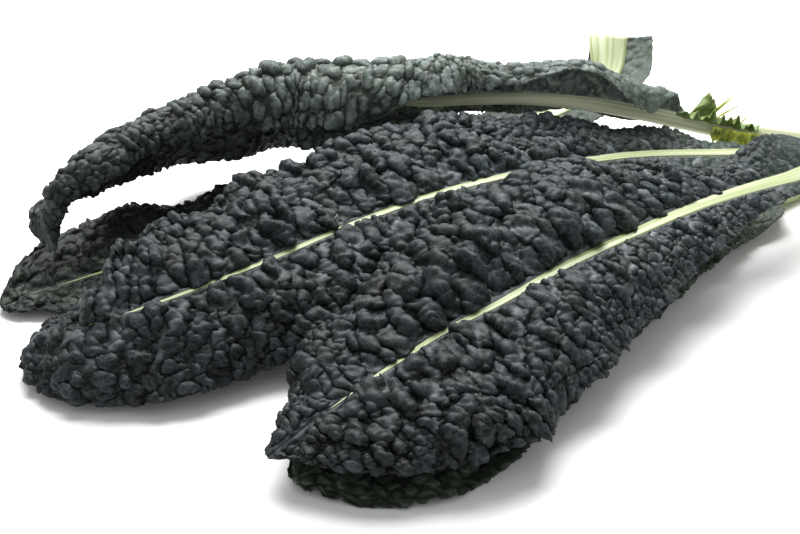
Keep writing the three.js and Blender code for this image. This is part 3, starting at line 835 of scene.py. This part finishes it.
def blade_skin(name, colours, tip_shade_share):
    """Fresh kale blade, upper side: a waxy leaf skin, blue-green with a grey bloom on its blisters, olive in
    places, pale along its veins and greener at its base, with painted shade that makes it near black in its
    creases and darker at its tip."""
    lit, bloom, crease, vein = colours
    material, output = new_material(name)
    place = add_node(material, "ShaderNodeTexCoord").outputs["Object"]
    # How much painted shade each point gets down in the creases
    painted_shade_share = add_node(material, "ShaderNodeAttribute", attribute_name="crease").outputs["Fac"]
    vein_near = add_node(material, "ShaderNodeAttribute", attribute_name="vein").outputs["Fac"]
    mottling = add_node(material, "ShaderNodeTexNoise", {"Vector": place, "Scale": PATCHES, "Detail": 4})
    bloom_share = add_node(
        material, "ShaderNodeMapRange", {"Value": mottling.outputs["Fac"], **BLOOM_RANGE}
    ).outputs["Result"]
    shade = mix_colours(material, bloom_share, lit, bloom)
    patches = add_node(material, "ShaderNodeTexNoise", {"Vector": place, "Scale": OLIVE_PATCHES, "Detail": 3})
    olive_share = add_node(
        material, "ShaderNodeMapRange", {"Value": patches.outputs["Fac"], **OLIVE_RANGE}
    ).outputs["Result"]
    tinted = mix_colours(material, olive_share, shade, linear(OLIVE))
    net = add_node(
        material, "ShaderNodeTexVoronoi", {"Vector": place, "Scale": VEIN_NET}, feature="DISTANCE_TO_EDGE"
    ).outputs["Distance"]
    net_line = add_node(material, "ShaderNodeMapRange", {"Value": net, **NET_RANGE}).outputs["Result"]
    netted = mix_colours(material, net_line, tinted, vein)
    # Painted shade: near black down in the creases
    painted_shade_colour = mix_colours(material, painted_shade_share, netted, crease)
    along = add_node(material, "ShaderNodeAttribute", attribute_name="along").outputs["Fac"]
    green_share = add_node(
        material, "ShaderNodeMapRange", {"Value": along, **GREEN_RANGE}
    ).outputs["Result"]
    based = mix_colours(material, green_share, painted_shade_colour, linear(GREEN_BASE))
    veined = mix_colours(material, vein_near, based, vein)
    grain = add_node(material, "ShaderNodeTexNoise", {"Vector": place, "Scale": GRAIN, "Detail": 3})
    brightness = add_node(
        material, "ShaderNodeMapRange", {"Value": grain.outputs["Fac"], **GRAIN_RANGE}
    ).outputs["Result"]
    grained = add_node(
        material, "ShaderNodeHueSaturation", {"Color": veined, "Value": brightness}
    ).outputs["Color"]
    # Painted shade: the skin is darker towards the tip of the leaf
    painted_tip_shade = add_node(
        material, "ShaderNodeMapRange", {"Value": along, **TIP_SHADE_RANGE, "To Max": tip_shade_share}
    ).outputs["Result"]
    colour = add_node(
        material, "ShaderNodeHueSaturation", {"Color": grained, "Value": painted_tip_shade}
    ).outputs["Color"]
    bump = add_node(
        material, "ShaderNodeBump", {"Height": net, "Strength": 0.35, "Distance": 0.0006}
    ).outputs["Normal"]
    shader = grown_skin(material, colour, 0.5, bump)
    return finish_skin(material, output, shader)


def underside_skin(name, green, vein):
    """Fresh kale blade, under side: matt and greener, with a raised pale net of veins, coarse and fine."""
    material, output = new_material(name)
    place = add_node(material, "ShaderNodeTexCoord").outputs["Object"]
    colour = green
    net = None
    for scale, limits in ((COARSE_NET, COARSE_RANGE), (FINE_NET, FINE_RANGE)):
        net = add_node(
            material, "ShaderNodeTexVoronoi", {"Vector": place, "Scale": scale}, feature="DISTANCE_TO_EDGE"
        ).outputs["Distance"]
        line = add_node(material, "ShaderNodeMapRange", {"Value": net, **limits}).outputs["Result"]
        colour = mix_colours(material, line, colour, vein)
    bump = add_node(
        material, "ShaderNodeBump", {"Height": net, "Strength": 0.3, "Distance": 0.0005}
    ).outputs["Normal"]
    shader = grown_skin(material, colour, 0.62, bump)
    return finish_skin(material, output, shader)


def frill_skin(name, fresh, yellowed):
    """Torn kale blade that has begun to yellow: thin, matt and uneven in colour."""
    material, output = new_material(name)
    place = add_node(material, "ShaderNodeTexCoord").outputs["Object"]
    patches = add_node(material, "ShaderNodeTexNoise", {"Vector": place, "Scale": FRILL_PATCHES, "Detail": 3})
    share = add_node(
        material, "ShaderNodeMapRange", {"Value": patches.outputs["Fac"], **YELLOW_RANGE}
    ).outputs["Result"]
    colour = mix_colours(material, share, fresh, yellowed)
    shader = add_node(material, "ShaderNodeBsdfPrincipled", {"Base Color": colour, "Roughness": 0.6})
    return finish_skin(material, output, shader)


def rib_skin(name, pale, edge):
    """Fresh kale midrib: smooth, juicy and pale, with fine lengthwise streaks."""
    material, output = new_material(name)
    around = add_node(material, "ShaderNodeUVMap").outputs["UV"]
    stretched = add_node(
        material, "ShaderNodeMapping", {"Vector": around, "Scale": (4, 18, 1)}
    ).outputs["Vector"]
    streaks = add_node(material, "ShaderNodeTexNoise", {"Vector": stretched, "Scale": 1.0, "Detail": 3})
    share = add_node(
        material, "ShaderNodeMapRange", {"Value": streaks.outputs["Fac"], **STREAK_RANGE}
    ).outputs["Result"]
    colour = mix_colours(material, share, pale, edge)
    bump = add_node(material, "ShaderNodeBump", {
        "Height": streaks.outputs["Fac"],
        "Strength": 0.3,
        "Distance": 0.0005,
    }).outputs["Normal"]
    shader = add_node(material, "ShaderNodeBsdfPrincipled", {
        "Base Color": colour,
        "Roughness": 0.42,
        "Normal": bump,
    })
    return finish_skin(material, output, shader)


# Settings

def colour_setting(name, description, code):
    """A colour that a user can change, from its sRGB hex value."""
    return bpy.props.FloatVectorProperty(
        name=name, description=description, subtype="COLOR", size=4, min=0, max=1, default=linear(code)
    )


class KaleSettings(bpy.types.PropertyGroup):
    """Sizes of the leaves."""

    thickness: bpy.props.FloatProperty(
        name="Blade thickness", description="Thickness of a blade", default=0.0006, unit="LENGTH"
    )
    blister_share: bpy.props.FloatProperty(
        name="Blister height", description="Height of a blister as a share of its width", default=0.54
    )
    knob_height: bpy.props.FloatProperty(
        name="Knob height", description="Height of the small knobs", default=0.0015, unit="LENGTH"
    )


class KaleColours(bpy.types.PropertyGroup):
    """Colours of the blades, the midribs and the frills. Each upper skin has four: where light falls on it,
    where it has a grey bloom, the painted shade down in its creases, and along its veins."""

    blue_black_lit: colour_setting("Blue-black", "Front and middle leaves", "1f2628")
    blue_black_bloom: colour_setting("Blue-black bloom", "Bloom on the front and middle leaves", "3e474b")
    # Painted shade down in the creases
    blue_black_crease: colour_setting("Blue-black crease", "Creases of the front and middle leaves", "090b0c")
    blue_black_vein: colour_setting("Blue-black vein", "Veins of the front and middle leaves", "7f8689")
    bloomed_lit: colour_setting("Bloomed", "Arched leaf", "5c6965")
    bloomed_bloom: colour_setting("Bloomed bloom", "Bloom on the arched leaf", "88958f")
    # Painted shade down in the creases
    bloomed_crease: colour_setting("Bloomed crease", "Creases of the arched leaf", "121813")
    bloomed_vein: colour_setting("Bloomed vein", "Veins of the arched leaf", "a9b1a4")
    shaded_lit: colour_setting("Shaded", "Back leaf", "1c2321")
    shaded_bloom: colour_setting("Shaded bloom", "Bloom on the back leaf", "2b3430")
    # Painted shade down in the creases
    shaded_crease: colour_setting("Shaded crease", "Creases of the back leaf", "0a0d0b")
    shaded_vein: colour_setting("Shaded vein", "Veins of the back leaf", "767f74")
    green_lit: colour_setting("Green", "Under leaf", "323d33")
    green_bloom: colour_setting("Green bloom", "Bloom on the under leaf", "485449")
    # Painted shade down in the creases
    green_crease: colour_setting("Green crease", "Creases of the under leaf", "0b0f0c")
    green_vein: colour_setting("Green vein", "Veins of the under leaf", "7f8874")
    underside: colour_setting("Underside", "Lower side of the blades", "6b8349")
    underside_vein: colour_setting("Underside vein", "Veins on the lower side of the blades", "b5c48c")
    rib: colour_setting("Midrib", "Midribs and stalks", "b5bc98")
    rib_streak: colour_setting("Midrib streak", "Streaks along the midribs", "8c9a5c")
    # Painted light: a brighter copy of the midrib colour, for the arched leaf's midrib and stalk
    stalk: colour_setting("Stalk", "Midrib and stalk of the arched leaf", "e2e7c8")
    frill: colour_setting("Frill", "Torn frills where they are green", "6b7d34")
    frill_yellow: colour_setting("Yellowed frill", "Torn frills where they have yellowed", "d6da5c")
    fibre: colour_setting("Fibre", "Dry fibres on the frills", "8a9428")


class KaleStage(bpy.types.PropertyGroup):
    """Floor, light and camera."""

    floor: colour_setting("Floor", "Pale floor", "f4f4f4")
    floor_size: bpy.props.FloatProperty(
        name="Floor size", description="Side of the floor", default=8, unit="LENGTH"
    )
    lamp_power: bpy.props.FloatProperty(
        name="Lamp power", description="Power of the large soft lamp in watts", default=54
    )
    lamp_width: bpy.props.FloatProperty(
        name="Lamp width", description="Width of the large soft lamp", default=1.5, unit="LENGTH"
    )
    lamp_depth: bpy.props.FloatProperty(
        name="Lamp depth", description="Depth of the large soft lamp", default=1.1, unit="LENGTH"
    )
    lamp_place: bpy.props.FloatVectorProperty(
        name="Lamp place", description="Middle of the lamp", default=(-0.1, 0.85, 1.2), unit="LENGTH"
    )
    lamp_tilt: bpy.props.FloatProperty(
        name="Lamp tilt", description="How far the lamp leans", default=math.radians(-35), subtype="ANGLE"
    )
    studio_light: bpy.props.FloatProperty(
        name="Studio light", description="Strength of the light from all round", default=0.58
    )
    camera_place: bpy.props.FloatVectorProperty(
        name="Camera place", description="Place of the camera", default=(-0.0468, -0.536, 0.305),
        unit="LENGTH"
    )
    camera_tilt: bpy.props.FloatProperty(
        name="Camera tilt", description="Turn from looking straight down", default=math.radians(60),
        subtype="ANGLE"
    )
    camera_lens: bpy.props.FloatProperty(
        name="Camera lens", description="Focal length in millimetres on a 36 mm wide frame", default=51.975
    )


def skin_colours(colours, skin):
    """The four colours of an upper skin."""
    # The crease colour is painted shade
    return [tuple(getattr(colours, skin + part)) for part in ("_lit", "_bloom", "_crease", "_vein")]


class KALE_OT_blades(bpy.types.Operator):
    """Grow the blistered halves of the five blades over their plain solids"""

    bl_idname = "kale.blades"
    bl_label = "Leaf blades"

    def execute(self, context):
        settings = context.scene.kale
        colours = context.scene.kale_colours
        skins = {
            skin: blade_skin("Fresh kale skin " + skin, skin_colours(colours, skin), tip_shade_share)
            for skin, tip_shade_share in TIP_SHADE_SHARES.items()
        }
        under = underside_skin("Kale underside", tuple(colours.underside), tuple(colours.underside_vein))
        for number, leaf in enumerate(LEAVES):
            rows = leaf.looks["rows"]
            columns = leaf.looks["columns"] // 2
            skin = leaf.looks["skin"]
            for far in (NEAR, FAR):
                node = leaf.name + "_blade"
                piece = new_sheet(node + ("_far" if far else "_near"), rows, columns)
                along, across = sheet_places(piece)
                shape = (columns + 1, rows + 1)
                s = (leaf.blade_from + (1 - leaf.blade_from) * along).reshape(shape)
                v = across if far else across - 1
                if leaf.blade_from:
                    opening = smooth_step(0, BLADE_START_LENGTH, along)
                    v = v * (BLADE_START_WIDTH + (1 - BLADE_START_WIDTH) * opening)
                v = v.reshape(shape)
                seed = FIRST_SEED + SEEDS_A_LEAF * number + far
                grid, crease, vein = blistered_sheet(leaf, s, v, bool(far), settings, seed)
                set_points(piece, grid)
                # How much painted shade each point gets down in the creases, for the material to read
                store(piece, "crease", crease)
                store(piece, "vein", vein)
                store(piece, "along", s)
                thicken(piece, settings.thickness)
                finish_piece(piece, node, [skins[skin], under])
        return {"FINISHED"}


def rib_points(leaf, along, around):
    """Points of a rib: a flat crown with fine lengthwise grooves over a round belly. It runs out to a
    point."""
    s = RIB_ENDS_AT * along
    point, _ = leaf.settled(s, np.zeros_like(s))
    _, side, up, _ = leaf.rib_frame(s)
    half = leaf.rib_half(s) * np.sqrt(np.clip((RIB_ENDS_AT - s) / RIB_POINT_LENGTH, RIB_POINT_SHARE, 1))
    flare, flare_length = leaf.looks["flare"]
    half *= 1 + flare * (1 - smooth_step(0, flare_length, s))
    depth = np.maximum(half, RIB_MIN_DEPTH * half / leaf.rib_half(s))
    angle = 2 * np.pi * around
    out = np.cos(angle)
    rise = np.sin(angle)
    groove = RIB_GROOVE * np.cos(RIB_GROOVES * np.pi * out)
    crown = (RIB_CROWN + groove) * np.abs(rise) ** CROWN_POWER
    lifted = np.where(rise > 0, crown, -RIB_BELLY * np.abs(rise) ** BELLY_POWER)
    return point + side * (out * half)[:, None] + up * (lifted * depth)[:, None]


class KALE_OT_ribs(bpy.types.Operator):
    """Sweep the five stalks and midribs along their leaves"""

    bl_idname = "kale.ribs"
    bl_label = "Midribs"

    def execute(self, context):
        colours = context.scene.kale_colours
        skin = rib_skin("Fresh kale rib", tuple(colours.rib), tuple(colours.rib_streak))
        # Painted light: the arched leaf's midrib and stalk get a brighter copy of the midrib colour
        painted_light_rib_skin = rib_skin("Fresh kale stalk", tuple(colours.stalk), tuple(colours.rib))
        for leaf in LEAVES:
            piece = new_sheet(leaf.name + "_rib_grown", RIB_RINGS, RIB_SIDES)
            along, around = sheet_places(piece)
            set_points(piece, rib_points(leaf, along, around))
            close_tube(piece)
            finish_piece(piece, leaf.name + "_rib", [painted_light_rib_skin if leaf.turned else skin])
        return {"FINISHED"}


# A frill holds its node, its name and whether it has yellowed, and then
#   side of the midrib, start and end along the leaf, width,
#   tilt beside the midrib and at the margin, height and length of its folds,
#   how far out and up from the stalk's middle it starts, in half widths of the stalk,
#   how far its margin leans towards the stem.
FRILLS = [
    ("arched_leaf_lower_frill", "lower_frill_grown", True,
     (FAR, 0.083, 0.158, 15, -25, 10, 3.2, 8.0, -1.15, -1.5, 0)),
    ("arched_leaf_upper_frill", "upper_frill_grown", False,
     (NEAR, 0.1, 0.2, 8, 20, -55, 2.8, 8.5, 0.8, -0.6, 0)),
    ("arched_leaf_upper_frill", "upper_curl_grown", False,
     (NEAR, 0.168, 0.188, 15, 20, 45, 2.2, 6.5, 0.8, -0.3, 7)),
]

# Dry fibres on one frill: start along the leaf, side of the midrib, and how far each runs towards the
# stem, out from the midrib and up
FIBRES_ON = "upper_frill_grown"
FIBRES = [
    (0.160, NEAR, 15, 17, 12),
    (0.158, NEAR, 12, 14, 9),
    (0.150, NEAR, 13, 9, 7),
    (0.120, NEAR, 3, 4, 3),
]


def frill_points(leaf, sizes, along, across, draw):
    """Points of a torn frill: a ribbon in tight folds that grow towards its nicked margin."""
    side_of_rib, start, end, width, tilt_in, tilt_out, fold, fold_length, *placing = sizes
    start_out, start_up, lean = placing
    s = start + (end - start) * along
    point, _ = leaf.settled(s, np.zeros_like(s))
    _, side, up, _ = leaf.rib_frame(s)
    sign = 1 if side_of_rib == NEAR else -1
    taper = FRILL_END_WIDTH + (1 - FRILL_END_WIDTH) * np.sin(np.pi * along) ** FRILL_FULLNESS
    nick = np.sin(2 * np.pi * s * leaf.length / FRILL_NICK_LENGTH + draw.uniform(0, LAST_PHASE))
    reach = width * taper * (1 + FRILL_NICK_SHARE * nick * across)
    distance = reach * across
    tilt = np.radians(tilt_in + (tilt_out - tilt_in) * across / 2)
    out = leaf.rib_half(s) * start_out + distance * np.cos(tilt)
    rise = leaf.rib_half(s) * start_up + distance * np.sin(tilt)
    folds = np.zeros_like(s)
    for share, stretch in FRILL_FOLDS:
        run = 2 * np.pi * s * leaf.length / (stretch * fold_length)
        folds += share * np.sin(run + draw.uniform(0, LAST_PHASE) + FOLD_SLANT * across)
    ripple = np.sin(2 * np.pi * distance / fold_length + draw.uniform(0, LAST_PHASE))
    folds += RIPPLE_SHARE * ripple * across
    lift = fold * folds * np.sqrt(across)
    out -= lift * np.sin(tilt)
    rise += lift * np.cos(tilt)
    bent = point + side * (sign * out)[:, None] + up * rise[:, None]
    return bent - np.cross(side, up) * (lean * across**LEAN_POWER)[:, None]


def fibre_points(leaf, fibre, along, around):
    """Points of one fibre: a thin tube that bends outwards and runs out to a point."""
    start, side_of_rib, run, out, rise = fibre
    s = np.full_like(along, start)
    point, _ = leaf.settled(s, np.zeros_like(s))
    _, side, up, _ = leaf.rib_frame(s)
    forward = np.cross(side, up)
    sign = 1 if side_of_rib == NEAR else -1
    radius = FIBRE_RADIUS * (1 - FIBRE_TAPER * along)
    angle = 2 * np.pi * around
    beside = leaf.rib_half(s) + FRILL_GAP + out * np.sqrt(along)
    middle = point + side * (sign * beside)[:, None] + up * (rise * along**FIBRE_BEND)[:, None]
    middle = middle - forward * (run * along)[:, None]
    return middle + side * (radius * np.cos(angle))[:, None] + up * (radius * np.sin(angle))[:, None]


def join_into(piece, parts):
    """Joins finished parts into one piece."""
    deselect_all()
    for part in parts:
        part.select_set(True)
    piece.select_set(True)
    bpy.context.view_layer.objects.active = piece
    bpy.ops.object.join()


class KALE_OT_frills(bpy.types.Operator):
    """Crumple the torn frills on the arched leaf's stalk and their dry fibres"""

    bl_idname = "kale.frills"
    bl_label = "Torn frills"

    def execute(self, context):
        colours = context.scene.kale_colours
        fresh = frill_skin("Torn green kale", tuple(colours.frill), tuple(colours.underside))
        yellowed = frill_skin("Yellowed kale", tuple(colours.frill), tuple(colours.frill_yellow))
        dry = frill_skin("Dry kale fibre", tuple(colours.fibre), tuple(colours.frill_yellow))
        leaf = LEAVES[-1]
        for number, (node, name, has_yellowed, sizes) in enumerate(FRILLS):
            draw = np.random.default_rng(FIRST_SEED + FRILL_SEEDS + number)
            piece = new_sheet(name, FRILL_ROWS, FRILL_COLUMNS)
            along, across = sheet_places(piece)
            set_points(piece, frill_points(leaf, sizes, along, across, draw))
            thicken(piece, FRILL_THICKNESS * MM, under_material=False)
            piece.data.materials.append(yellowed if has_yellowed else fresh)
            fibres = []
            for fibre in FIBRES if name == FIBRES_ON else []:
                strand = new_sheet("fibre", FIBRE_RINGS, FIBRE_SIDES)
                along, around = sheet_places(strand)
                set_points(strand, fibre_points(leaf, fibre, along, around))
                close_tube(strand)
                strand.data.materials.append(dry)
                fibres.append(strand)
            if fibres:
                join_into(piece, fibres)
            finish_piece(piece, node, [])
        return {"FINISHED"}


class KALE_OT_stage(bpy.types.Operator):
    """Set the pale floor, the soft lights and the camera"""

    bl_idname = "kale.stage"
    bl_label = "Stage"

    def execute(self, context):
        stage = context.scene.kale_stage
        deselect_all()
        bpy.ops.mesh.primitive_plane_add(size=stage.floor_size, location=(0, 0, 0))
        floor = context.object
        floor.name = "pale_floor"
        material, output = new_material("Matt white paper")
        matt = {"Base Color": tuple(stage.floor), "Roughness": 0.9}
        shader = add_node(material, "ShaderNodeBsdfPrincipled", matt)
        floor.data.materials.append(finish_skin(material, output, shader))
        bpy.ops.object.light_add(type="AREA", location=stage.lamp_place)
        lamp = context.object
        lamp.data.shape = "RECTANGLE"
        lamp.data.size = stage.lamp_width
        lamp.data.size_y = stage.lamp_depth
        lamp.data.energy = stage.lamp_power
        lamp.rotation_euler = (stage.lamp_tilt, 0, 0)
        world = bpy.data.worlds.new("Pale studio")
        context.scene.world = world
        world.use_nodes = True
        background = world.node_tree.nodes["Background"]
        background.inputs["Color"].default_value = WHITE
        background.inputs["Strength"].default_value = stage.studio_light
        bpy.ops.object.camera_add(location=stage.camera_place, rotation=(stage.camera_tilt, 0, 0))
        camera = context.object
        camera.data.lens = stage.camera_lens
        camera.data.sensor_width = SENSOR_WIDTH
        context.scene.camera = camera
        context.scene.view_settings.view_transform = "Standard"
        return {"FINISHED"}


class KALE_PT_panel(bpy.types.Panel):
    """Buttons that build the bunch"""

    bl_idname = "KALE_PT_panel"
    bl_label = "Kale bunch"
    bl_space_type = "VIEW_3D"
    bl_region_type = "UI"
    bl_category = "Kale"

    def draw(self, context):
        self.layout.operator("kale.blades")
        self.layout.operator("kale.ribs")
        self.layout.operator("kale.frills")
        self.layout.operator("kale.stage")


CLASSES = (
    KaleSettings,
    KaleColours,
    KaleStage,
    KALE_OT_blades,
    KALE_OT_ribs,
    KALE_OT_frills,
    KALE_OT_stage,
    KALE_PT_panel,
)


def register():
    """Adds the classes and the scene's settings."""
    for item in CLASSES:
        bpy.utils.register_class(item)
    bpy.types.Scene.kale = bpy.props.PointerProperty(type=KaleSettings)
    bpy.types.Scene.kale_colours = bpy.props.PointerProperty(type=KaleColours)
    bpy.types.Scene.kale_stage = bpy.props.PointerProperty(type=KaleStage)


def unregister():
    """Takes the classes and the scene's settings away."""
    del bpy.types.Scene.kale_stage
    del bpy.types.Scene.kale_colours
    del bpy.types.Scene.kale
    for item in reversed(CLASSES):
        bpy.utils.unregister_class(item)


def main():
    """Builds every piece and the stage."""
    register()
    settle_leaves()
    bpy.ops.kale.stage()
    bpy.ops.kale.blades()
    bpy.ops.kale.ribs()
    bpy.ops.kale.frills()


if __name__ == "__main__":
    main()
